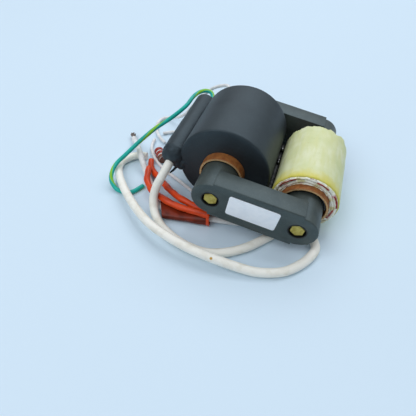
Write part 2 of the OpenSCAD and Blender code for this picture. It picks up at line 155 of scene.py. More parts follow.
# Routes of the leads, in millimetres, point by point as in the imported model

ROUTES = {
    "hv_lead": [
        (-65.2, -23.3, 30.6), (-66, -29.6, 28.4), (-68.2, -35.3, 23.3), (-70.9, -39.9, 17),
        (-71.6, -44.6, 11), (-69.4, -50, 6), (-64.8, -56, 3.4), (-57.6, -61.9, 3), (-46.8, -67.6, 3),
        (-34.6, -71.2, 3), (-21.8, -71.4, 3), (-9.4, -66.2, 3), (0.4, -58.8, 3), (9.2, -49.2, 3),
        (14.8, -42.6, 3), (20.4, -37.4, 3), (27.6, -35, 3), (34.8, -36.6, 3), (40, -41.4, 3),
        (41.6, -47.6, 3), (38.8, -55.2, 3), (33.2, -63.2, 3), (24, -71, 3), (9.5, -75.8, 3.2),
        (-6.1, -77.2, 5.6), (-20.8, -77.4, 8.1), (-35, -75.8, 9.2), (-49, -72.4, 9.8),
        (-64.1, -66.5, 9.6), (-79, -56.6, 8.6), (-96, -41.6, 7.4), (-108.4, -27.4, 5.6),
        (-114.6, -17.4, 4), (-116, -9.4, 3), (-112.2, -2.4, 3), (-106.4, 1.8, 3), (-100.2, 2.8, 3)],
    "earth_lead": [
        (-59.6, 46.5, 36.4), (-60, 50.8, 37.4), (-62.6, 54.2, 38.6), (-67.4, 54.8, 38.8),
        (-72.2, 51.8, 38), (-74.6, 44.5, 37.4), (-76.6, 33.6, 35.4), (-84, 21.6, 31),
        (-94.5, 10.4, 25.3), (-103.6, -1.4, 18.6), (-110.4, -11.4, 12.8), (-113.4, -20.5, 10.9),
        (-113.2, -28.6, 9.4), (-111.6, -34.2, 6), (-106.8, -37.6, 2), (-100.4, -38.6, 1.6),
        (-93.9, -36.6, 1.6), (-88.8, -27.9, 1.6)],
    "white_lead": [
        (-124.5, 26.5, 2.4), (-118.5, 17.5, 3.2), (-112, 9.6, 7.4), (-104.5, 0, 10), (-98, -8.4, 6.2),
        (-92, -15.5, 2.6), (-85, -24, 2.4), (-77.2, -34.8, 2.4), (-66.9, -44.2, 2.95),
        (-52, -45.2, 3.25), (-38, -44.8, 3.6), (-29, -44.4, 3.7), (-18, -42.4, 2.9), (-8, -40.6, 2.6),
        (3, -39.6, 3.4), (9.5, -36.4, 5.6), (13.4, -32.4, 8), (14.4, -28.3, 8.7)],
    "orange_lead_a": [
        (-95, 0.2, 2.1), (-92.2, -6, 2.1), (-86, -13.8, 3.5), (-78.6, -20.4, 5.6), (-71.7, -26.4, 7.2),
        (-64.3, -32.2, 8.5), (-55.5, -37.8, 9.6), (-47, -40.8, 9.7), (-39.5, -42.1, 9.2),
        (-31, -42.3, 8.85)],
    "orange_lead_b": [
        (-90.2, -13.4, 6.9), (-88.4, -19.6, 7.3), (-85.6, -26.4, 7.4), (-79.9, -33.7, 7.4),
        (-74.9, -37.4, 7.7), (-68.8, -40.5, 8.5), (-62.1, -43.2, 8.9), (-54.5, -45.2, 9.1),
        (-46, -46.2, 9.1), (-38.5, -46.5, 9), (-31, -46.5, 8.85)],
    "thin_lead_a": [
        (-46, 32.5, 48), (-45.4, 41, 47.8), (-46.3, 51, 46.2), (-50.4, 59, 44), (-56.6, 62.4, 41),
        (-63.8, 63.4, 37), (-70.4, 61.6, 31.6), (-76, 58, 26), (-81.5, 55.6, 19.5), (-87, 55.4, 12.5),
        (-93.4, 56.6, 7.4), (-101.4, 59.6, 3.6), (-108.2, 59.2, 1.8), (-111.6, 54.2, 1.5),
        (-111, 47, 1.5), (-107.4, 38.4, 1.5), (-101, 30.6, 1.5), (-94, 25.2, 1.5)],
    "thin_lead_b": [
        (-46, 32.5, 13), (-47.4, 38, 12), (-53, 42, 6.6), (-62, 43.6, 2), (-74, 43.4, 1.5),
        (-84, 44.4, 1.5), (-93, 42, 1.5), (-101, 37, 1.5)],
    "thin_lead_c": [
        (-104.5, 27, 1.5), (-102.8, 18, 1.5), (-98, 9.2, 1.5), (-89.6, 0.4, 1.5), (-79.5, -7, 1.5),
        (-66, -14, 1.5), (-50, -22.5, 1.5), (-33, -31, 1.5), (-16, -34.8, 1.5), (-3, -35.2, 2.2),
        (5, -34.8, 6.2), (9.5, -32.4, 11.4), (10.7, -28.3, 14)],
}


# Colour and node helpers

def linear(code):
    """Linear RGBA of an sRGB hex colour."""
    parts = [int(code[i:i + 2], 16) / 255 for i in (1, 3, 5)]
    return [p / 12.92 if p <= 0.04045 else ((p + 0.055) / 1.055) ** 2.4 for p in parts] + [1.0]


def add(tree, kind, into=None, **settings):
    """One node with its settings, its input values and the links that come into it."""
    made = tree.nodes.new(kind)
    for name, value in settings.items():
        setattr(made, name, value)
    for name, value in (into or {}).items():
        if isinstance(value, bpy.types.NodeSocket):
            tree.links.new(value, made.inputs[name])
        else:
            made.inputs[name].default_value = value
    return made


def start(name, code, roughness, **sockets):
    """A new material of one colour: the material, its node tree and its shader."""
    made = bpy.data.materials.new(name)
    made.use_nodes = True
    tree = made.node_tree
    shader = tree.nodes["Principled BSDF"]
    shader.inputs["Base Color"].default_value = linear(code)
    shader.inputs["Roughness"].default_value = roughness
    for socket, value in sockets.items():
        shader.inputs[socket.replace("_", " ")].default_value = value
    return made, tree, shader


def here(tree):
    """Object coordinates, in metres."""
    return add(tree, "ShaderNodeTexCoord").outputs["Object"]


def grain(tree, size_mm, detail=2.0, at=None, roughness=0.5):
    """Noise whose spots are about size_mm across."""
    return add(tree, "ShaderNodeTexNoise", {"Vector": at or here(tree), "Scale": 1 / (size_mm * MM),
                                            "Detail": detail, "Roughness": roughness}).outputs["Fac"]


def between(tree, value, low, high):
    """Value stretched so that low becomes 0 and high becomes 1, and held there."""
    return add(tree, "ShaderNodeMapRange", {"Value": value, "From Min": low, "From Max": high}).outputs["Result"]


def mix(tree, factor, first, second):
    """Blend of two colours, each a hex code or a socket."""
    pair = [linear(c) if isinstance(c, str) else c for c in (first, second)]
    return add(tree, "ShaderNodeMix", {0: factor, 6: pair[0], 7: pair[1]}, data_type="RGBA").outputs[2]


def paint(tree, shader, colour):
    tree.links.new(colour, shader.inputs["Base Color"])


def relief(tree, shader, height, depth_mm, strength=1.0):
    """Bump of the given depth from a height between 0 and 1."""
    bump = add(tree, "ShaderNodeBump", {"Height": height, "Distance": depth_mm * MM, "Strength": strength})
    tree.links.new(bump.outputs["Normal"], shader.inputs["Normal"])


def sockets_of(tree, vector):
    return add(tree, "ShaderNodeSeparateXYZ", {"Vector": vector}).outputs


def sum_of(tree, first, second, operation="ADD"):
    return add(tree, "ShaderNodeMath", {0: first, 1: second}, operation=operation).outputs[0]


# Materials, named for what the real ones are

def sintered_ferrite():
    # Pressed and sintered manganese-zinc ferrite: dark grey ceramic, matt, with a fine grain and pale dust
    made, tree, shader = start("Sintered ferrite", "#303634", 0.48, Specular_IOR_Level=0.8,
                               Specular_Tint=linear("#d8f4ff"))
    cloud = mix(tree, between(tree, grain(tree, 7, 4), 0.35, 0.65), "#2f342f", "#3b403a")
    speck = between(tree, grain(tree, 0.5, 1), 0.6, 0.75)
    paint(tree, shader, mix(tree, speck, cloud, "#4a524f"))
    relief(tree, shader, grain(tree, 0.6, 3), 0.05)
    return made


def turned_brass():
    # Hexagon brass bar, parted off on a lathe and dulled: pale olive yellow with faint turning rings
    made, tree, shader = start("Turned brass", "#c3b35c", 0.42, Metallic=0.75)
    tarnish = between(tree, grain(tree, 2.2, 4), 0.35, 0.7)
    paint(tree, shader, mix(tree, tarnish, "#cdbf6c", "#a3903f"))
    relief(tree, shader, grain(tree, 0.35, 2), 0.03)
    return made


def moulded_nylon():
    # Black glass-filled nylon bush, satin as moulded
    made, tree, shader = start("Moulded black nylon", "#101212", 0.5)
    relief(tree, shader, grain(tree, 0.4, 2), 0.02)
    return made


def kraft_tube():
    # Spirally wound kraft paper tube, varnished: warm brown with darker fibres
    made, tree, shader = start("Varnished kraft paper", "#9c6232", 0.55)
    fibres = add(tree, "ShaderNodeTexNoise", {"Vector": here(tree), "Scale": 900.0, "Detail": 4.0,
                                              "Distortion": 1.5}).outputs["Fac"]
    blotch = mix(tree, between(tree, grain(tree, 2.5, 4), 0.3, 0.7), "#84491f", "#a86c34")
    paint(tree, shader, mix(tree, between(tree, fibres, 0.55, 0.75), blotch, "#6e3f1e"))
    relief(tree, shader, fibres, 0.05)
    return made


def kraft_rim():
    # Cut end of the paper tube: bare and pale, with the edges of its layers
    made, tree, shader = start("Cut kraft paper", "#c49b66", 0.8)
    paint(tree, shader, mix(tree, between(tree, grain(tree, 0.5, 3), 0.35, 0.65), "#b58a58", "#d8b684"))
    relief(tree, shader, grain(tree, 0.3, 3), 0.08)
    return made


def potting_resin():
    # Filled black epoxy, cast in a mould: charcoal, matt, with broad clouds and fine pits
    made, tree, shader = start("Cast black epoxy", "#25282a", 0.5, Specular_IOR_Level=0.62,
                               Specular_Tint=linear("#ccecfb"))
    cloud = mix(tree, between(tree, grain(tree, 16, 5), 0.35, 0.68), "#202224", "#292e30")
    dust = between(tree, grain(tree, 0.8, 2), 0.66, 0.78)
    paint(tree, shader, mix(tree, dust, cloud, "#3a4247"))
    height = sum_of(tree, grain(tree, 0.9, 3), grain(tree, 5, 2))
    relief(tree, shader, height, 0.07)
    return made


def yellow_tape():
    # Polyester film tape over glass cloth: pale yellow, deeper where the adhesive pools at the front edge
    made, tree, shader = start("Yellow polyester tape", "#d9ddae", 0.5, Specular_IOR_Level=0.35)
    place = sockets_of(tree, here(tree))
    depth = sum_of(tree, place[1], sum_of(tree, grain(tree, 6, 3), 0.009, "MULTIPLY"), "ADD")
    pooled = between(tree, depth, -0.0125, -0.0215)
    streaked = add(tree, "ShaderNodeMapping", {"Vector": here(tree), "Scale": (1.0, 0.22, 1.0)}).outputs["Vector"]
    streaks = between(tree, grain(tree, 2.6, 4, streaked), 0.42, 0.68)
    cloud = mix(tree, between(tree, grain(tree, 10, 4), 0.38, 0.66), "#dde0b8", "#cdd39a")
    creamy = mix(tree, streaks, cloud, "#d3d69c")
    soaked = mix(tree, pooled, creamy, "#d2c858")
    paint(tree, shader, mix(tree, between(tree, grain(tree, 0.9, 2), 0.7, 0.8), soaked, "#c4a860"))
    height = sum_of(tree, streaks, grain(tree, 3, 4))
    relief(tree, shader, height, 0.09, 0.6)
    return made


def crumpled_film():
    # Thin white polyester film, crumpled and stained with varnish: off-white, turning dark brown and dark red where
    # its crumpled ends sink, partly thin red layers and partly painted shade in the gaps between them
    made, tree, shader = start("Crumpled white film", "#efe9da", 0.38)
    fold = add(tree, "ShaderNodeAttribute", attribute_name="fold").outputs["Fac"]
    creases = add(tree, "ShaderNodeTexVoronoi", {"Vector": here(tree), "Scale": 420.0},
                  feature="DISTANCE_TO_EDGE").outputs["Distance"]
    stain = mix(tree, between(tree, grain(tree, 3.2, 3), 0.5, 0.68), "#f2f2e2", "#cfc790")
    blush = mix(tree, between(tree, grain(tree, 4.2, 2), 0.6, 0.68), stain, "#e0bcb8")
    # Low fold marks the hollows of the crumpled ends: the dark brown and dark red there are partly red layers and
    # partly painted shade in the gaps
    deep = mix(tree, between(tree, grain(tree, 5.0, 2), 0.45, 0.55), "#5e2f1c", "#8f1c16")
    paint(tree, shader, mix(tree, between(tree, fold, 0.24, 0.06), blush, deep))
    relief(tree, shader, creases, 0.15, 0.5)
    return made


def red_film(name="Red polyester strip", code="#a3241b"):
    # Red insulating film, glossy and a little scuffed
    made, tree, shader = start(name, code, 0.35)
    paint(tree, shader, mix(tree, between(tree, grain(tree, 1.5, 4), 0.4, 0.7), code, "#7c1a14"))
    return made


def hot_glue():
    # Black hot-melt adhesive, run into the gap: very glossy
    made, tree, shader = start("Black hot-melt adhesive", "#08090a", 0.14)
    relief(tree, shader, grain(tree, 1.2, 2), 0.15)
    return made


def glue_drop():
    # Where the adhesive has run into a round drop: a hard, mirror-like skin
    return start("Adhesive drop", "#0a0b0c", 0.06, IOR=2.2)[0]


def label_film():
    # White vinyl label, satin, left bare
    made, tree, shader = start("White vinyl label", "#f0f4f8", 0.45)
    paint(tree, shader, mix(tree, between(tree, grain(tree, 4, 3), 0.4, 0.75), "#fafcff", "#f0f4f9"))
    relief(tree, shader, grain(tree, 0.5, 2), 0.015)
    return made


def cream_silicone():
    # Extruded silicone rubber jacket: cream, satin, greyed a little by handling, with one small ochre spot
    made, tree, shader = start("Extruded cream silicone", "#ece8dc", 0.45, Specular_IOR_Level=0.35)
    lay = add(tree, "ShaderNodeAttribute", attribute_name="lay").outputs["Vector"]
    grime = between(tree, grain(tree, 7, 4), 0.5, 0.8)
    cream = mix(tree, grime, "#f6f3e8", "#e2dcca")
    spot = add(tree, "ShaderNodeVectorMath", {0: here(tree), 1: HV_SPOT * MM}, operation="DISTANCE").outputs["Value"]
    paint(tree, shader, mix(tree, between(tree, spot, 0.0011, 0.0006), cream, "#c79a3e"))
    faint = add(tree, "ShaderNodeMapping", {"Vector": lay, "Scale": (1.0, 1.0, 60.0)}).outputs["Vector"]
    relief(tree, shader, add(tree, "ShaderNodeTexNoise", {"Vector": faint, "Scale": 1.5}).outputs["Fac"], 0.12)
    return made


def green_yellow_pvc():
    # PVC earth lead: teal green with one yellow-green stripe that turns slowly round it
    made, tree, shader = start("Green and yellow PVC", "#12b096", 0.36, Specular_IOR_Level=0.35)
    lay = sockets_of(tree, add(tree, "ShaderNodeAttribute", attribute_name="lay").outputs["Vector"])
    turn = sum_of(tree, lay[2], 116.0, "MULTIPLY")
    turned = sum_of(tree, turn, 0.22)
    side = sum_of(tree, lay[0], add(tree, "ShaderNodeMath", {0: turned}, operation="COSINE").outputs[0], "MULTIPLY")
    up = sum_of(tree, lay[1], add(tree, "ShaderNodeMath", {0: turned}, operation="SINE").outputs[0], "MULTIPLY")
    stripe = between(tree, sum_of(tree, side, up), 0.72, 0.8)
    green = mix(tree, between(tree, grain(tree, 5, 3), 0.4, 0.7), "#12b4a4", "#0f9e8e")
    paint(tree, shader, mix(tree, stripe, green, "#86c436"))
    relief(tree, shader, grain(tree, 1.5, 2), 0.03)
    return made


def white_pvc():
    # White PVC wire jacket, a little greyed
    made, tree, shader = start("White PVC", "#e9e8e6", 0.38)
    paint(tree, shader, mix(tree, between(tree, grain(tree, 5, 4), 0.42, 0.72), "#edecea", "#d6d3cf"))
    relief(tree, shader, grain(tree, 1.2, 2), 0.03)
    return made


def orange_silicone():
    # Glossy orange silicone tubing, soft and creased: bright with darker runs along it
    made, tree, shader = start("Orange silicone tubing", "#d8411a", 0.38, Specular_IOR_Level=0.35)
    lay = add(tree, "ShaderNodeAttribute", attribute_name="lay").outputs["Vector"]
    drawn = add(tree, "ShaderNodeMapping", {"Vector": lay, "Scale": (1.6, 1.6, 110.0)}).outputs["Vector"]
    runs = add(tree, "ShaderNodeTexNoise", {"Vector": drawn, "Scale": 1.0, "Detail": 4.0}).outputs["Fac"]
    paint(tree, shader, mix(tree, between(tree, runs, 0.46, 0.76), "#e24a14", "#a52c0c"))
    relief(tree, shader, runs, 0.3, 0.7)
    return made


def sleeve_silicone():
    # Wide flattened silicone sleeve: dark red-orange, glossy and smooth with soft dents
    made, tree, shader = start("Dark orange silicone sleeve", "#7d2c14", 0.42, Specular_IOR_Level=0.3)
    paint(tree, shader, mix(tree, between(tree, grain(tree, 8, 4), 0.4, 0.66), "#82290d", "#571a08"))
    relief(tree, shader, grain(tree, 4, 3), 0.3, 0.6)
    return made


def red_nylon():
    # Moulded red nylon splice, glossy
    made, tree, shader = start("Moulded red nylon", "#a92b1d", 0.3)
    paint(tree, shader, mix(tree, between(tree, grain(tree, 2, 4), 0.4, 0.7), "#b02f18", "#80200e"))
    relief(tree, shader, grain(tree, 0.8, 3), 0.08)
    return made


def shaded_nylon_rib():
    # The splice's last rib, brown: painted shade, where the high-voltage lead hangs over it
    made, tree, shader = start("Red nylon in painted shade", "#7d4632", 0.45)
    paint(tree, shader, mix(tree, between(tree, grain(tree, 1.6, 3), 0.35, 0.65), "#8a4a34", "#6a4230"))
    return made


def stranded_copper():
    # Tinned and bare copper strands, dulled brown
    made, tree, shader = start("Dull copper strands", "#7d5a45", 0.4, Metallic=0.8)
    paint(tree, shader, mix(tree, between(tree, grain(tree, 0.6, 3), 0.4, 0.65), "#857a72", "#5a504a"))
    return made


def enamelled_wire():
    # Copper wire in red-brown enamel, wound close
    made, tree, shader = start("Enamelled copper wire", "#8a4a2a", 0.3)
    turns = add(tree, "ShaderNodeTexWave", {"Vector": here(tree), "Scale": 400.0}, bands_direction="Y").outputs["Fac"]
    paint(tree, shader, mix(tree, turns, "#6e341c", "#a8623a"))
    relief(tree, shader, turns, 0.2)
    return made


def spacer_board():
    # Pressboard gap spacer, pale and matt
    made, tree, shader = start("Pressboard", "#d8cfb6", 0.75)
    paint(tree, shader, mix(tree, between(tree, grain(tree, 1, 4), 0.4, 0.7), "#d8cfb6", "#c2b694"))
    return made


MAKERS = {
    "ferrite": sintered_ferrite, "brass": turned_brass, "nylon": moulded_nylon, "kraft": kraft_tube,
    "rim": kraft_rim, "resin": potting_resin, "tape": yellow_tape, "film": crumpled_film, "red_film": red_film,
    "glue": hot_glue, "drop": glue_drop, "label": label_film, "silicone": cream_silicone, "earth": green_yellow_pvc,
    "white": white_pvc, "orange": orange_silicone, "sleeve": sleeve_silicone, "red": red_nylon,
    "brown": shaded_nylon_rib, "copper": stranded_copper, "wire": enamelled_wire, "board": spacer_board,
}
MADE = {}


def finish_named(key):
    """The material of that finish, made the first time it is asked for."""
    if key not in MADE:
        MADE[key] = MAKERS[key]()
    return MADE[key]


# Mesh helpers, all in millimetres until a piece is finished

def piece(name, bm, finishes, place=None, replaces=(), sharp=35):
    """Turn a mesh that was modelled in millimetres into a finished object that rides with the model."""
    bmesh.ops.transform(bm, matrix=Matrix.Scale(MM, 4) @ (place or Matrix.Identity(4)), verts=bm.verts)
    mesh = bpy.data.meshes.new(name)
    bm.to_mesh(mesh)
    bm.free()
    mesh.shade_smooth()
    mesh.set_sharp_from_angle(angle=math.radians(sharp))
    made = bpy.data.objects.new(name, mesh)
    bpy.context.scene.collection.objects.link(made)
    for key in finishes:
        mesh.materials.append(finish_named(key))
    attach(made, "root")
    if replaces:
        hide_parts(*replaces)
    return made


def turned(outline, steps, closed=True):
    """Spin an outline of (along, out) points once round Y; an outline that ends on the axis is closed there."""
    bm = bmesh.new()
    verts = [bm.verts.new((out, along, 0.0)) for along, out in outline]
    pairs = list(zip(verts, verts[1:]))
    if closed:
        pairs.append((verts[-1], verts[0]))
    edges = [bm.edges.new(pair) for pair in pairs]
    bmesh.ops.spin(bm, geom=verts + edges, cent=(0, 0, 0), axis=(0, 1, 0), angle=math.tau, steps=steps,
                   use_merge=True)
    bmesh.ops.remove_doubles(bm, verts=bm.verts, dist=0.001)
    bmesh.ops.recalc_face_normals(bm, faces=bm.faces)
    return bm


def stepped(first, last, count):
    """Count points from the first to the last, without the last."""
    return [tuple(a + (b - a) * i / count for a, b in zip(first, last)) for i in range(count)]


def outline_through(corners, spacing):
    """A closed outline through the corners, with points about spacing apart."""
    found = []
    for a, b in zip(corners, corners[1:] + corners[:1]):
        found += stepped(a, b, max(1, round(math.dist(a, b) / spacing)))
    return found


def rounded_corner(centre, radius, from_deg, to_deg, count=4):
    return [(centre[0] + radius * math.sin(math.radians(a)), centre[1] + radius * math.cos(math.radians(a)))
            for a in [from_deg + (to_deg - from_deg) * i / count for i in range(count + 1)]]


def outward(co):
    """Unit vector from the Y axis out to a point."""
    flat = Vector((co.x, 0.0, co.z))
    return flat.normalized() if flat.length > 1e-6 else Vector((0, 0, 0))


def joined(first, second, operation="UNION"):
    """Boolean of two meshes, as a new mesh."""
    objects = []
    for bm in (first, second):
        mesh = bpy.data.meshes.new("working")
        bm.to_mesh(mesh)
        bm.free()
        made = bpy.data.objects.new("working", mesh)
        bpy.context.scene.collection.objects.link(made)
        objects.append(made)
    cut = objects[0].modifiers.new("join", "BOOLEAN")
    cut.operation = operation
    cut.solver = "EXACT"
    cut.object = objects[1]
    graph = bpy.context.evaluated_depsgraph_get()
    result = bmesh.new()
    result.from_object(objects[0], graph)
    for made in objects:
        mesh = made.data
        bpy.data.objects.remove(made)
        bpy.data.meshes.remove(mesh)
    return result


def modified(bm, kind, **settings):
    """The mesh after one modifier."""
    mesh = bpy.data.meshes.new("working")
    bm.to_mesh(mesh)
    bm.free()
    made = bpy.data.objects.new("working", mesh)
    bpy.context.scene.collection.objects.link(made)
    modifier = made.modifiers.new("shape", kind)
    for name, value in settings.items():
        setattr(modifier, name, value)
    graph = bpy.context.evaluated_depsgraph_get()
    result = bmesh.new()
    result.from_object(made, graph)
    bpy.data.objects.remove(made)
    bpy.data.meshes.remove(mesh)
    return result


def copy_of(node):
    """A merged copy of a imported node, in millimetres, with its flat faces whole."""
    bm = bmesh.new()
    bm.from_mesh(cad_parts[node].data)
    bmesh.ops.transform(bm, matrix=Matrix.Scale(1 / MM, 4), verts=bm.verts)
    bmesh.ops.remove_doubles(bm, verts=bm.verts, dist=0.002)
    bmesh.ops.dissolve_limit(bm, angle_limit=math.radians(0.6), verts=bm.verts, edges=bm.edges)
    return bm


# Leads

def smooth_line(points, spacing):
    """A smooth line through the points, with samples about spacing apart."""
    line = [Vector(p) + ORIGIN for p in points]
    ends = [line[0] * 2 - line[1]] + line + [line[-1] * 2 - line[-2]]
    samples = []
    for i in range(1, len(ends) - 2):
        p0, p1, p2, p3 = ends[i - 1:i + 3]
        count = max(2, round((p2 - p1).length / spacing))
        for k in range(count):
            t = k / count
            samples.append(0.5 * (2 * p1 + (p2 - p0) * t + (2 * p0 - 5 * p1 + 4 * p2 - p3) * t * t
                                  + (3 * p1 - p0 - 3 * p2 + p3) * t ** 3))
    return samples + [line[-1]]


def tube(samples, radius, rings=5):
    """A capped tube along the samples, made by a curve's own bevel."""
    data = bpy.data.curves.new("working", "CURVE")
    data.dimensions = "3D"
    data.bevel_depth = radius
    data.bevel_resolution = rings
    data.use_fill_caps = True
    spline = data.splines.new("POLY")
    spline.points.add(len(samples) - 1)
    for point, co in zip(spline.points, samples):
        point.co = (*co, 1.0)
    made = bpy.data.objects.new("working", data)
    bpy.context.scene.collection.objects.link(made)
    graph = bpy.context.evaluated_depsgraph_get()
    mesh = bpy.data.meshes.new_from_object(made.evaluated_get(graph))
    bm = bmesh.new()
    bm.from_mesh(mesh)
    bpy.data.objects.remove(made)
    bpy.data.curves.remove(data)
    bpy.data.meshes.remove(mesh)
    bmesh.ops.remove_doubles(bm, verts=bm.verts, dist=0.001)
    bmesh.ops.recalc_face_normals(bm, faces=bm.faces)
    return bm


def lay_along(bm, samples):
    """Give each vertex its place round and along the line as an attribute named lay."""
    tree = kdtree.KDTree(len(samples))
    for i, co in enumerate(samples):
        tree.insert(co, i)
    tree.balance()
    travelled = [0.0]
    for a, b in zip(samples, samples[1:]):
        travelled.append(travelled[-1] + (b - a).length)
    layer = bm.verts.layers.float_vector.new("lay")
    for v in bm.verts:
        co, i, _ = tree.find(v.co)
        heading = (samples[min(i + 1, len(samples) - 1)] - samples[max(i - 1, 0)]).normalized()
        side = heading.cross(Vector((0, 0, 1))).normalized()
        out = (v.co - co).normalized() if (v.co - co).length > 1e-5 else side
        v[layer] = (out.dot(side), out.dot(side.cross(heading)), travelled[i] * MM)


def squeeze(bm, samples, amount, size_mm, seed):
    """Make a tube uneven with noise of the given size."""
    tree = kdtree.KDTree(len(samples))
    for i, co in enumerate(samples):
        tree.insert(co, i)
    tree.balance()
    for v in bm.verts:
        co, i, _ = tree.find(v.co)
        out = v.co - co
        if out.length < 1e-4:
            continue
        shift = amount * noise.noise(v.co / size_mm + Vector((seed, 0, 0)))
        v.co = co + out * (1 + shift / out.length)


def twist(whole, samples, radius):
    """Add bare strands, twisted together along the samples and splayed at their end, as material 1."""
    jacket = len(whole.faces)
    for strand in range(7):
        line = []
        for i, co in enumerate(samples):
            angle = strand * math.tau / 6 + i * 0.5
            splay = radius * (1 + 0.25 * max(0, 3 - i)) if strand < 6 else 0
            line.append(co + Vector((math.cos(angle), 0.4 * math.cos(angle), math.sin(angle))) * splay)
        mesh = bpy.data.meshes.new("working")
        bm = tube(line, radius * 0.62, rings=2)
        bm.to_mesh(mesh)
        bm.free()
        whole.from_mesh(mesh)
        bpy.data.meshes.remove(mesh)
    whole.faces.ensure_lookup_table()
    for face in whole.faces[jacket:]:
        face.material_index = 1


def lead(name, thickness, finish, exit_at_end=False, uneven=0.0,
         spacing=1.2, stripped=0, plump=1.0):
    """A lead along its route; stripped counts samples without jacket."""
    samples = smooth_line(ROUTES[name], spacing)
    for co in samples:
        co.z = max(co.z, thickness / MM / 2)
    bm = tube(samples[stripped:], plump * thickness / MM / 2)
    if uneven:
        squeeze(bm, samples, uneven, 6.0, len(name))
    if stripped:
        twist(bm, samples[:stripped + 2], thickness / MM / 4.5)
    lay_along(bm, samples)
    made = piece(name + "_jacket", bm, [finish, "copper"] if stripped else [finish], replaces=[name],
                 sharp=50)
    path = [co * MM for co in samples]
    if exit_at_end:
        path.reverse()
    return made


# Operators, one for each piece or group of like pieces

class TRANSFORMER_OT_camera(bpy.types.Operator):
    """Stand the camera where the photograph was taken from"""
    bl_idname = "transformer.camera"
    bl_label = "Camera"

    def execute(self, context):
        view = context.scene.transformer_camera
        data = bpy.data.cameras.new("Camera")
        data.sensor_width = SENSOR_WIDTH
        data.lens = SENSOR_WIDTH * view.focal / PICTURE_SIDE
        data.clip_start = 0.01
        data.clip_end = 20.0
        camera = bpy.data.objects.new("Camera", data)
        context.scene.collection.objects.link(camera)
        back = Vector((math.sin(view.azimuth) * math.cos(view.elevation),
                       -math.cos(view.azimuth) * math.cos(view.elevation), math.sin(view.elevation)))
        aim = Vector((view.aim_x, 0.0, view.aim_z)) + ORIGIN * MM
        turn = (-back).to_track_quat("-Z", "Y").to_matrix().to_4x4()
        roll = Matrix.Rotation(view.roll, 4, "Z")
        camera.matrix_world = Matrix.Translation(aim + back * view.distance) @ turn @ roll
        context.scene.camera = camera
        return {"FINISHED"}


class TRANSFORMER_OT_stage(bpy.types.Operator):
    """Lay the table, set the sky and hang the wide lamp over it"""
    bl_idname = "transformer.stage"
    bl_label = "Stage"

    def execute(self, context):
        stage = context.scene.transformer_stage
        context.scene.view_settings.view_transform = "Standard"
        bm = bmesh.new()
        bmesh.ops.create_grid(bm, x_segments=1, y_segments=1, size=2.5)
        mesh = bpy.data.meshes.new("table")
        bm.to_mesh(mesh)
        bm.free()
        table = bpy.data.objects.new("table", mesh)
        table.location.z = -0.0001
        context.scene.collection.objects.link(table)
        made, tree, shader = start("Pale laminate table", "#d4e6f3", 0.8, Specular_IOR_Level=0.05)
        shader.inputs["Base Color"].default_value = (*stage.table, 1.0)
        mesh.materials.append(made)
        world = context.scene.world or bpy.data.worlds.new("World")
        context.scene.world = world
        world.use_nodes = True
        sky = world.node_tree.nodes["Background"]
        sky.inputs["Color"].default_value = linear("#eaf2fa")
        sky.inputs["Strength"].default_value = stage.sky_light
        wide = stage.lamp_size
        self.lamp(context, "Softbox", stage.lamp_watts, (wide, wide / 2), Vector((0.15, 1.4, 1.75)))
        self.lamp(context, "Fill", stage.fill_watts, (1.4, 1.4), Vector((-0.7, -0.8, 1.6)))
        self.lamp(context, "Small lamp", stage.glint_watts, (0.1, 0.1), Vector((0.12, 0.25, 1.1)))
        return {"FINISHED"}

    def lamp(self, context, name, watts, sides, place):
        light = bpy.data.lights.new(name, "AREA")
        light.shape = "RECTANGLE"
        light.energy = watts
        light.size, light.size_y = sides
        light.color = linear("#f4f8ff")[:3]
        made = bpy.data.objects.new(name, light)
        made.location = place
        made.rotation_mode = "QUATERNION"
        made.rotation_quaternion = (-place).to_track_quat("-Z", "Y")
        context.scene.collection.objects.link(made)


class TRANSFORMER_OT_leads(bpy.types.Operator):
    """Lay the leads along their routes"""
    bl_idname = "transformer.leads"
    bl_label = "Leads"

    def execute(self, context):
        leads = context.scene.transformer_leads
        lead("hv_lead", leads.hv_thickness, "silicone", uneven=0.08)
        lead("earth_lead", leads.earth_thickness, "earth", spacing=0.9)
        lead("white_lead", leads.white_thickness, "white", exit_at_end=True, uneven=0.1,
             stripped=5)
        for name in ("orange_lead_a", "orange_lead_b"):
            lead(name, leads.orange_thickness, "orange", exit_at_end=True, uneven=0.45,
                 spacing=0.8, plump=1.13)
        for name, last in (("thin_lead_a", False), ("thin_lead_b", False), ("thin_lead_c", True)):
            lead(name, leads.thin_thickness, "white", exit_at_end=last, spacing=0.9)
        return {"FINISHED"}


# Finish of each solid that clamps the halves, by the start of its node's name
CLAMP_FINISHES = (("clamp_", "brass"), ("head_bush", "nylon"), ("nut_bush", "nylon"), ("gap_spacer", "board"))


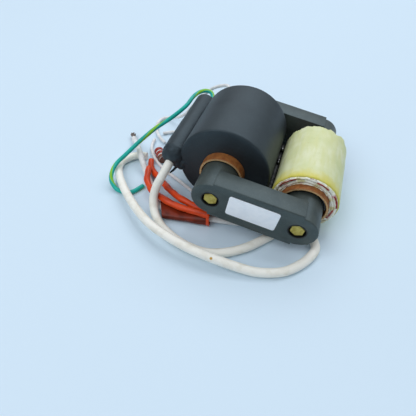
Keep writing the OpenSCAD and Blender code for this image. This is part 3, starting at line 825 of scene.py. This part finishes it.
class TRANSFORMER_OT_core(bpy.types.Operator):
    """Make both ferrite halves, with softened edges, and finish the parts that clamp them"""
    bl_idname = "transformer.core"
    bl_label = "Ferrite core"

    def execute(self, context):
        for node in ("core_front", "core_rear"):
            bm = copy_of(node)
            bm = modified(bm, "BEVEL", width=0.35, segments=2, limit_method="ANGLE",
                          angle_limit=math.radians(40), use_clamp_overlap=True)
            piece(node + "_half", bm, ["ferrite"], replaces=[node], sharp=30)
        for node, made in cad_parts.items():
            for prefix, key in CLAMP_FINISHES:
                if node.startswith(prefix):
                    made.data.materials.clear()
                    made.data.materials.append(finish_named(key))
        for side, place in (("left", ON_LEFT_LEG), ("right", ON_RIGHT_LEG)):
            self.screw("clamp_screw_" + side, place)
        return {"FINISHED"}

    def screw(self, node, place):
        """Clamp screw with a crisp hexagon head that lies deep in its black cup."""
        low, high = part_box(node)
        front, back = low.y / MM, high.y / MM
        bm = bmesh.new()
        turn = Matrix.Rotation(math.pi / 2, 4, "X")
        head = Matrix.Translation((0, front + 1.8, 0)) @ turn
        bmesh.ops.create_cone(bm, cap_ends=True, segments=6, radius1=4.65, radius2=4.65, depth=3.6,
                              matrix=head)
        bmesh.ops.bevel(bm, geom=[e for e in bm.edges if abs(e.verts[0].co.y - e.verts[1].co.y) < 0.1],
                        offset=0.2, affect="EDGES", segments=2, profile=0.5, material=-1)
        shank = Matrix.Translation((0, (front + 3.6 + back) / 2, 0)) @ turn
        bmesh.ops.create_cone(bm, cap_ends=True, segments=32, radius1=2.5, radius2=2.5, depth=back - front - 3.6,
                              matrix=shank)
        piece(node + "_turned", bm, ["brass"], place=place, replaces=[node], sharp=20)


class TRANSFORMER_OT_label(bpy.types.Operator):
    """Stick the bare label on the front yoke"""
    bl_idname = "transformer.label"
    bl_label = "Label"

    def execute(self, context):
        width, height, radius, thick = 32.0, 16.0, 1.6, 0.3
        bm = bmesh.new()
        bmesh.ops.create_grid(bm, x_segments=1, y_segments=1, size=0.5)
        bmesh.ops.scale(bm, vec=(width, height, 1), verts=bm.verts)
        bmesh.ops.bevel(bm, geom=list(bm.verts), offset=radius, affect="VERTICES", segments=6, profile=0.5,
                        material=-1)
        out = bmesh.ops.extrude_face_region(bm, geom=list(bm.faces))["geom"]
        bmesh.ops.translate(bm, vec=(0, 0, thick), verts=[g for g in out if isinstance(g, bmesh.types.BMVert)])
        bmesh.ops.recalc_face_normals(bm, faces=bm.faces)
        bmesh.ops.bevel(bm, geom=[e for e in bm.edges if all(v.co.z > thick / 2 for v in e.verts)], offset=0.08,
                        affect="EDGES", segments=2, profile=0.5, material=-1)
        place = IN_CORE @ Matrix.Translation((-0.8, FRONT_Y, 1.4)) @ Matrix.Rotation(math.pi / 2, 4, "X")
        piece("label", bm, ["label"], place=place, replaces=["rating_label"])
        return {"FINISHED"}


class TRANSFORMER_OT_potting(bpy.types.Operator):
    """Cast the potted coil with its lead exit and the blade of flash beside it"""
    bl_idname = "transformer.potting"
    bl_label = "Potted coil"

    def execute(self, context):
        coil = context.scene.transformer_coils
        bore, edge = LEG_R + 0.6 + FORMER_WALL, 1.4
        corners = ([(POTTING_FRONT, bore)]
                   + rounded_corner((POTTING_FRONT + edge, POTTING_R - edge), edge, -90, 0)
                   + rounded_corner((POTTING_BACK - edge, POTTING_R - edge), edge, 0, 90)
                   + [(POTTING_BACK, bore)])
        body = turned(outline_through(corners, 2.5), coil.steps)
        edge = 2.0
        corners = ([(EXIT_FRONT, 0.0)] + rounded_corner((EXIT_FRONT + edge, EXIT_R - edge), edge, -90, 0)
                   + rounded_corner((EXIT_BACK - edge, EXIT_R - edge), edge, 0, 90) + [(EXIT_BACK, 0.0)])
        shape = []
        for a, b in zip(corners, corners[1:]):
            shape += stepped(a, b, max(1, round(math.dist(a, b) / 1.5)))
        tail = turned(shape + [corners[-1]], 56, closed=False)
        for v in tail.verts:
            rough = max(0.0, (EXIT_FRONT + 11 - v.co.y) / 11)
            push = noise.noise(v.co / 3.6) * 0.7 * rough + noise.noise(v.co / 8) * 0.25
            v.co += outward(v.co) * (push - 0.1)
        angle = math.radians(EXIT_ANGLE)
        shift = Matrix.Translation((EXIT_OFFSET * math.cos(angle), 0, EXIT_OFFSET * math.sin(angle)))
        bmesh.ops.transform(tail, matrix=shift, verts=tail.verts)
        bm = joined(body, tail)
        bm = joined(bm, self.flash())
        bm = joined(bm, self.lumps())
        for v in bm.verts:
            if v.co.length > 20:
                v.co += v.co.normalized() * noise.noise(v.co / 14) * coil.waviness / MM
        piece("potted_coil", bm, ["resin"], place=ON_LEFT_LEG, replaces=["secondary_potting"],
              sharp=55)
        for node in ("secondary_winding", "primary_winding"):
            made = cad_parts[node]
            made.data.materials.clear()
            made.data.materials.append(finish_named("wire"))
        return {"FINISHED"}

    def lumps(self):
        """Resin that has run out round the lead, as one lumpy mass, in the leg's own frame."""
        bm = bmesh.new()
        start = Vector(ROUTES["hv_lead"][0]) + ORIGIN
        for x, y, z, radius in RESIN_LUMPS:
            at = start + Vector((x, y, z))
            bmesh.ops.create_icosphere(bm, subdivisions=3, radius=radius, matrix=Matrix.Translation(at))
        bm = modified(bm, "REMESH", mode="VOXEL", voxel_size=0.45)
        for _ in range(6):
            bmesh.ops.smooth_vert(bm, verts=bm.verts, factor=0.6, use_axis_x=True, use_axis_y=True, use_axis_z=True)
        for v in bm.verts:
            v.co += (v.co - start).normalized() * noise.noise(v.co / 2.6) * 0.3
        bmesh.ops.transform(bm, matrix=ON_LEFT_LEG.inverted(), verts=bm.verts)
        return bm

    def flash(self):
        """Thin torn blade that hangs from the crease, in the leg's own frame."""
        bm = bmesh.new()
        points = [(0, 30), (0, 25.5), (3, 24.2), (5.5, 23.8), (8, 22.5), (11, 22), (11, 22.6), (7, 25), (4, 27.2)]
        verts = [bm.verts.new((x, z, -0.4)) for x, z in points]
        face = bm.faces.new(verts)
        out = bmesh.ops.extrude_face_region(bm, geom=[face])["geom"]
        bmesh.ops.translate(bm, vec=(0, 0, 0.8), verts=[g for g in out if isinstance(g, bmesh.types.BMVert)])
        bmesh.ops.recalc_face_normals(bm, faces=bm.faces)
        place = (Matrix.Translation(ORIGIN + Vector((-58.5, -20, 0))) @ Matrix.Rotation(math.radians(234), 4, "Z")
                 @ Matrix.Rotation(math.pi / 2, 4, "X"))
        bmesh.ops.transform(bm, matrix=ON_LEFT_LEG.inverted() @ place, verts=bm.verts)
        return bm


class TRANSFORMER_OT_formers(bpy.types.Operator):
    """Turn the two paper formers, with their cut rims"""
    bl_idname = "transformer.formers"
    bl_label = "Paper formers"

    def execute(self, context):
        steps = context.scene.transformer_coils.steps
        for name, node, place, inner, y0, y1 in (
                ("secondary_paper_former", "secondary_former", ON_LEFT_LEG, LEG_R + 0.6, POTTING_FRONT - 6.4,
                 POTTING_BACK + 4),
                ("primary_paper_former", "primary_former", ON_RIGHT_LEG, LEG_R + 1.8, TAPE_FRONT - 5,
                 TAPE_BACK + 5)):
            soft = 0.2
            outer = inner + FORMER_WALL
            shape = [(y0, inner + soft), (y0, outer - soft), (y0 + soft, outer), (y1 - soft, outer),
                     (y1, outer - soft), (y1, inner + soft), (y1 - soft, inner), (y0 + soft, inner)]
            bm = turned(outline_through(shape, 3.0), steps)
            for v in bm.verts:
                v.co.y += 0.18 * noise.noise(v.co / 3.0) * (1 if v.co.y < y0 + 1 or v.co.y > y1 - 1 else 0)
            bm.normal_update()
            for face in bm.faces:
                face.material_index = 1 if abs(face.normal.y) > 0.8 else 0
            piece(name, bm, ["kraft", "rim"], place=place, replaces=[node])
        return {"FINISHED"}


class TRANSFORMER_OT_wraps(bpy.types.Operator):
    """Wrap the primary: red strip, crumpled white film and yellow tape with ragged ends"""
    bl_idname = "transformer.wraps"
    bl_label = "Tape and wraps"

    def execute(self, context):
        coil = context.scene.transformer_coils
        tape_in, wrap_in, strip_in = TAPE_R - 1.0, TAPE_R - 2.4, TAPE_R - 3.2
        self.tape("primary_yellow_tape", tape_in, coil.fringe / MM, coil.steps)
        self.film("primary_white_wrap", wrap_in, tape_in, coil.crumple / MM, 2 * coil.steps)
        self.strip("primary_red_strip", strip_in, wrap_in, coil.steps)
        return {"FINISHED"}

    def tape(self, name, inner, ragged, steps):
        """Yellow tape: scalloped at the back, frayed at the front, with soft dents along it."""
        y0, y1, outer = TAPE_FRONT, TAPE_BACK, TAPE_R
        shape = [(y0, inner), (y0, outer - 0.35), (y0 + 0.35, outer), (y1 - 0.3, outer), (y1, outer - 0.2),
                 (y1, inner)]
        bm = turned(outline_through(shape, 1.3), steps)
        for v in bm.verts:
            round_it = Vector((v.co.x, 0, v.co.z))
            back_end = max(0.0, (v.co.y - y1 + 4) / 4)
            front_end = max(0.0, (y0 + 3 - v.co.y) / 3)
            scallop = noise.noise(round_it / 5.0) + 0.45 * noise.noise(round_it / 1.7)
            fray = noise.noise(round_it / 2.2 + Vector((0, 7, 0))) + 0.5 * noise.noise(round_it / 0.9)
            v.co.y -= back_end * ragged * (scallop + 0.2) * 5
            v.co.y += front_end * ragged * (fray + 0.3) * 0.8
            if math.hypot(v.co.x, v.co.z) > inner + 0.1:
                drawn = Vector((v.co.x / 3.4, v.co.y / 16, v.co.z / 3.4))
                v.co += outward(v.co) * (0.14 * (noise.noise(drawn) - 0.4) + 0.12 * (noise.noise(v.co / 9) - 0.4))
                v.co += outward(v.co) * 0.2 * front_end * (fray - 0.5)
        piece(name, bm, ["tape"], place=ON_RIGHT_LEG, replaces=["primary_tape"], sharp=60)

    def film(self, name, inner, outer, crumple, steps):
        """White film: a tube whose ends are folded in over the winding, in crumpled layers."""
        y0, y1, lip = TAPE_FRONT - 1.0, TAPE_BACK - 0.4, LEG_R + 1.8 + FORMER_WALL + 0.25
        front = stepped((y0, lip), (y0, outer), 26)
        back = stepped((y1, outer), (y1, lip), 12)
        shape = (front + stepped((y0, outer), (y1, outer), 12) + back + [(y1, lip), (y1 - 0.7, lip)]
                 + [(y1 - 0.7, inner)] + stepped((y1 - 0.7, inner), (y0 + 0.7, inner), 8)[1:]
                 + [(y0 + 0.7, inner), (y0 + 0.7, lip)])
        bm = turned(shape, steps)
        # The fold attribute is low in the hollows of the crumpled ends, where the film's material paints dark red
        # layers and shade
        layer = bm.verts.layers.float.new("fold")
        for v in bm.verts:
            radius = math.hypot(v.co.x, v.co.z)
            round_it = Vector((v.co.x, 0, v.co.z))
            at_end = v.co.y < y0 + 0.4 or v.co.y > y1 - 0.4
            v[layer] = 1.0
            if at_end:
                wobble = 1.3 * noise.noise(round_it / 7.0) + 0.3 * noise.noise(round_it / 2.2)
                wave = 0.5 + 0.5 * math.cos((outer - radius + wobble - 1.1) * math.tau / 2.2)
                height = wave ** 0.5
                v[layer] = height + 0.12 * noise.noise(round_it / 2.0)
                lift = crumple * (1.3 * height - 0.8 + 0.7 * noise.noise(round_it / 2.2))
                v.co.y += -lift if v.co.y < 0 else lift
            elif radius > outer - 0.1:
                v.co += outward(v.co) * -0.08
        piece(name, bm, ["film"], place=ON_RIGHT_LEG, replaces=["primary_wrap"], sharp=70)

    def strip(self, name, inner, outer, steps):
        """Red strip: under the film, but standing out of it where STRIP_SHOWS says so."""
        y0, y1 = TAPE_FRONT - 1.8, TAPE_BACK + 0.4
        shape = [(y0, inner), (y0, outer - 0.12), (y0 + 0.12, outer), (y1 - 0.12, outer), (y1, outer - 0.12),
                 (y1, inner)]
        bm = turned(outline_through(shape, 1.5), steps)
        for v in bm.verts:
            angle = math.degrees(math.atan2(v.co.z, v.co.x))
            shown, out = max((min(1.0, (half - abs(angle - at)) / 2.5), out) for at, half, out in STRIP_SHOWS)
            shown = max(0.0, shown)
            sunk = 1.9 * (1 - shown)
            end = max(0.0, (abs(v.co.y - (y0 + y1) / 2) - (y1 - y0) / 2 + 2) / 2)
            v.co.y -= math.copysign(end * sunk, v.co.y)
            if end > 0:
                v.co.y += 0.25 * end * noise.noise(v.co / 1.6)
                v.co += outward(v.co) * end * (out * shown + 0.3 * noise.noise(Vector((angle / 9, 0, 0))))
        piece(name, bm, ["red_film"], place=ON_RIGHT_LEG, replaces=["primary_strip"], sharp=60)


class TRANSFORMER_OT_adhesive(bpy.types.Operator):
    """Run beads of glossy black adhesive between the legs and the formers"""
    bl_idname = "transformer.adhesive"
    bl_label = "Adhesive beads"

    def execute(self, context):
        self.beads("primary_glue", "primary_beads", ON_RIGHT_LEG, TAPE_FRONT - 3, TAPE_BACK + 3, 1.8)
        self.beads("secondary_glue", "secondary_beads", ON_LEFT_LEG, POTTING_FRONT - 4.4, POTTING_BACK + 2, 0.6)
        self.seam("seam_glue")
        out = LEG_R + 0.9
        spots = [(math.radians(degrees), radius) for degrees, radius in BEAD_DROPS]
        places = [(out * math.cos(a), TAPE_FRONT - 2.4, out * math.sin(a), radius) for a, radius in spots]
        self.drops("primary_glue_drops", places, ON_RIGHT_LEG)
        return {"FINISHED"}

    def drops(self, name, places, frame_of_them):
        """Round drops, each given by X, Y, Z and radius."""
        bm = bmesh.new()
        for x, y, z, radius in places:
            bmesh.ops.create_icosphere(bm, subdivisions=3, radius=radius,
                                       matrix=Matrix.Translation((x, y, z)))
        piece(name, bm, ["drop"], place=frame_of_them, sharp=180)

    def seam(self, name):
        """Adhesive run along the narrow gap between the two coils."""
        bm = bmesh.new()
        middle = POTTING_R - LEG_SPACING / 2 + (LEG_SPACING - POTTING_R - TAPE_R) / 2
        for i in range(38):
            y = -22.5 + i * 1.28
            wander = noise.noise(Vector((0.3, y / 4.0, 0.0)))
            at = Vector((middle, y, 0.9 * wander - 4.0))
            bmesh.ops.create_icosphere(bm, subdivisions=2, radius=2.9 + 0.35 * wander,
                                       matrix=Matrix.Translation(at))
        self.drops(name + "_drops", [(middle, y, 0.4, radius) for y, radius in SEAM_DROPS], IN_CORE)
        bm = modified(bm, "REMESH", mode="VOXEL", voxel_size=0.35, use_smooth_shade=True)
        bmesh.ops.smooth_vert(bm, verts=bm.verts, factor=0.5, use_axis_x=True, use_axis_y=True, use_axis_z=True)
        piece(name, bm, ["nylon"], place=IN_CORE, sharp=180)

    def beads(self, name, node, place, y0, y1, gap):
        bm = bmesh.new()
        for end, y in ((1, y0), (-1, y1)):
            for first, run in ((12, 74), (98, 52), (-62, 50)):
                for i in range(int(run / 4) + 1):
                    angle = math.radians(first + i * 4)
                    radius = gap / 2 + 0.15
                    out = LEG_R + gap / 2
                    wander = noise.noise(Vector((math.cos(angle), y, math.sin(angle))) * 2.4)
                    for back in range(3):
                        at = Vector((out * math.cos(angle), y + end * (back * 1.4 - 0.2 + wander * 0.7),
                                     -out * math.sin(angle)))
                        bmesh.ops.create_icosphere(bm, subdivisions=2, radius=radius * (1 + 0.15 * wander),
                                                   matrix=Matrix.Translation(at))
        bm = modified(bm, "REMESH", mode="VOXEL", voxel_size=max(0.22, gap / 6), use_smooth_shade=True)
        bmesh.ops.smooth_vert(bm, verts=bm.verts, factor=0.5, use_axis_x=True, use_axis_y=True, use_axis_z=True)
        piece(name, bm, ["glue"], place=place, replaces=[node], sharp=180)


class TRANSFORMER_OT_sleeve(bpy.types.Operator):
    """Lay the flat orange sleeve and its collar under the orange leads"""
    bl_idname = "transformer.sleeve"
    bl_label = "Orange sleeve"

    def execute(self, context):
        ends = ((-66.0, -46.0, 3.0, 16.5, 6.0, 27.0), (-30.4, -45.2, 3.9, 9.8, 6.6, 0.0))
        bm = self.loft([self.part_way(ends, i / 30) for i in range(31)], 0.55, 0.5)
        piece("sleeve_flat", bm, ["sleeve"], replaces=["orange_sleeve"], sharp=60)
        rows = ((-32.0, 0.0), (-31.7, 0.3), (-31.0, 0.35), (-30.3, 0.2), (-29.9, 0.0))
        bm = self.loft([(x, -45.0, 5.8, 11.0 + out, 11.2 + out, 8.0) for x, out in rows], 0.65, 0.3)
        piece("sleeve_end_collar", bm, ["orange"], replaces=["sleeve_collar"], sharp=60)
        return {"FINISHED"}

    def part_way(self, ends, share):
        """Section between the open end and the neck."""
        row = [a + (b - a) * share for a, b in zip(*ends)]
        row[5] = ends[0][5] * (1 - share) ** 2
        return row

    def loft(self, sections, wall, dent):
        """Flat tube through sections of X, Y, Z, width, height and turn, given its wall inwards."""
        bm = bmesh.new()
        ring = bmesh.ops.create_circle(bm, segments=64, radius=1.0, cap_ends=False)["verts"]
        bmesh.ops.rotate(bm, verts=ring, matrix=Matrix.Rotation(math.pi / 2, 3, "Y"))
        unit = [v.co.copy() for v in ring]
        edges = list(bm.edges)
        for count, (x, y, z, wide, high, turn) in enumerate(sections):
            if count:
                out = bmesh.ops.extrude_edge_only(bm, edges=edges)["geom"]
                ring = [g for g in out if isinstance(g, bmesh.types.BMVert)]
                edges = [g for g in out if isinstance(g, bmesh.types.BMEdge)]
            swing = Matrix.Rotation(math.radians(turn), 3, "Z")
            for v, at in zip(ring, unit):
                across = math.copysign(abs(at.y) ** 0.55, at.y) * wide / 2
                up = math.copysign(abs(at.z) ** 0.75, at.z) * high / 2
                fold = noise.noise(Vector((x / 9, across / 5, up / 5))) - 0.35
                out_way = Vector((0, across / wide, up / high)).normalized()
                v.co = Vector((x, y, z)) + swing @ (Vector((0, across, up)) + out_way * fold * dent) + ORIGIN
        bmesh.ops.recalc_face_normals(bm, faces=bm.faces)
        bmesh.ops.solidify(bm, geom=bm.faces, thickness=wall)
        bmesh.ops.recalc_face_normals(bm, faces=bm.faces)
        return bm


class TRANSFORMER_OT_splice(bpy.types.Operator):
    """Turn the ribbed red splice"""
    bl_idname = "transformer.splice"
    bl_label = "Ribbed splice"

    def execute(self, context):
        length, out, groove, ribs = 13.0, 3.8, 0.4, 3
        pitch = length / ribs
        shape = [(0.0, 0.0), (0.0, out - groove), (0.35, out - groove)]
        for i in range(ribs):
            y = i * pitch
            shape += [(y + 0.65, out - 0.15), (y + 0.85, out), (y + pitch - 0.85, out)]
            shape += [(y + pitch - 0.65, out - 0.15), (y + pitch - 0.6, out - groove), (y + pitch + 0.6, out - groove)]
        shape = shape[:-1] + [(length, out - groove), (length, 0.0)]
        bm = turned(shape, 48, closed=False)
        bm.normal_update()
        for face in bm.faces:
            middle = face.calc_center_median()
            flat = math.hypot(middle.x, middle.z)
            sunk = out - groove - 0.1 < flat < out - groove + 0.05
            # The grooves take the white finish: a painted highlight between the red ribs
            face.material_index = 1 if sunk and abs(face.normal.y) < 0.5 else 0
            # The rib under the high-voltage lead takes the brown finish: painted shade
            if middle.y < pitch - 0.3 and face.material_index == 0:
                face.material_index = 2
        for v in bm.verts:
            v.co += outward(v.co) * 0.08 * noise.noise(v.co / 2.5)
        place = (Matrix.Translation(ORIGIN + Vector((-89.6, 7.0, out))) @ Matrix.Rotation(math.radians(42), 4, "Z")
                 @ Matrix.Translation((0, -length / 2, 0)))
        piece("ribbed_splice", bm, ["red", "white", "brown"], place=place,
              replaces=["red_splice"])
        return {"FINISHED"}


class TRANSFORMER_PT_panel(bpy.types.Panel):
    """Everything that makes up the transformer"""
    bl_idname = "TRANSFORMER_PT_panel"
    bl_label = "Transformer"
    bl_space_type = "VIEW_3D"
    bl_region_type = "UI"
    bl_category = "Transformer"

    def draw(self, context):
        scene = context.scene
        for group in (scene.transformer_camera, scene.transformer_stage, scene.transformer_coils,
                      scene.transformer_leads):
            box = self.layout.box()
            for name in group.__annotations__:
                box.prop(group, name)
        for operator in OPERATORS:
            self.layout.operator(operator.bl_idname)


# Where the red strip stands out of the film: middle and half width of each stretch in degrees, and how far out
STRIP_SHOWS = ((73.0, 14.5, 0.9), (30.0, 17.0, 1.3), (-6.0, 15.0, -1.0), (142.0, 20.0, 1.2), (-120.0, 20.0, 0.0))
# Lumps of resin at the lead's exit: where each lies from the lead's start, and its radius, in millimetres
RESIN_LUMPS = (
    (1.6, 3.8, 3.0, 8.5), (0.8, 2.4, 1.4, 6.4), (0.0, 0.5, 0.2, 4.7), (-1.4, 2.2, 2.2, 6.2),
    (3.8, 0.4, -1.6, 4.3), (6.6, 1.0, -4.2, 3.8), (8.4, 2.2, -1.0, 4.2),
)
# Drops on the primary's adhesive, at the front: angle in degrees and radius in millimetres
BEAD_DROPS = ((128.0, 1.4), (118.0, 1.5), (98.0, 1.0), (74.0, 1.4), (64.0, 1.3))
# Drops that stand out of the adhesive between the coils: place along the legs and radius, in millimetres
SEAM_DROPS = ((16.2, 1.6), (3.4, 1.3), (1.2, 1.1))
# Ochre spot on the high-voltage lead, in the model's frame
HV_SPOT = Vector((-17.8, -79.4, 9.8)) + ORIGIN

OPERATORS = (
    TRANSFORMER_OT_camera, TRANSFORMER_OT_leads, TRANSFORMER_OT_stage, TRANSFORMER_OT_core, TRANSFORMER_OT_label,
    TRANSFORMER_OT_potting, TRANSFORMER_OT_formers, TRANSFORMER_OT_wraps, TRANSFORMER_OT_adhesive,
    TRANSFORMER_OT_sleeve, TRANSFORMER_OT_splice,
)
SETTINGS = {
    "transformer_camera": CameraSettings, "transformer_coils": CoilSettings,
    "transformer_leads": LeadSettings, "transformer_stage": StageSettings,
}


def register():
    for settings in SETTINGS.values():
        bpy.utils.register_class(settings)
    for name, settings in SETTINGS.items():
        setattr(bpy.types.Scene, name, PointerProperty(type=settings))
    for kind in OPERATORS + (TRANSFORMER_PT_panel,):
        bpy.utils.register_class(kind)


def unregister():
    for kind in (TRANSFORMER_PT_panel,) + OPERATORS[::-1]:
        bpy.utils.unregister_class(kind)
    for name, settings in SETTINGS.items():
        delattr(bpy.types.Scene, name)
        bpy.utils.unregister_class(settings)


def main():
    register()
    for operator in OPERATORS:
        group, name = operator.bl_idname.split(".")
        getattr(getattr(bpy.ops, group), name)()


if __name__ == "__main__":
    main()
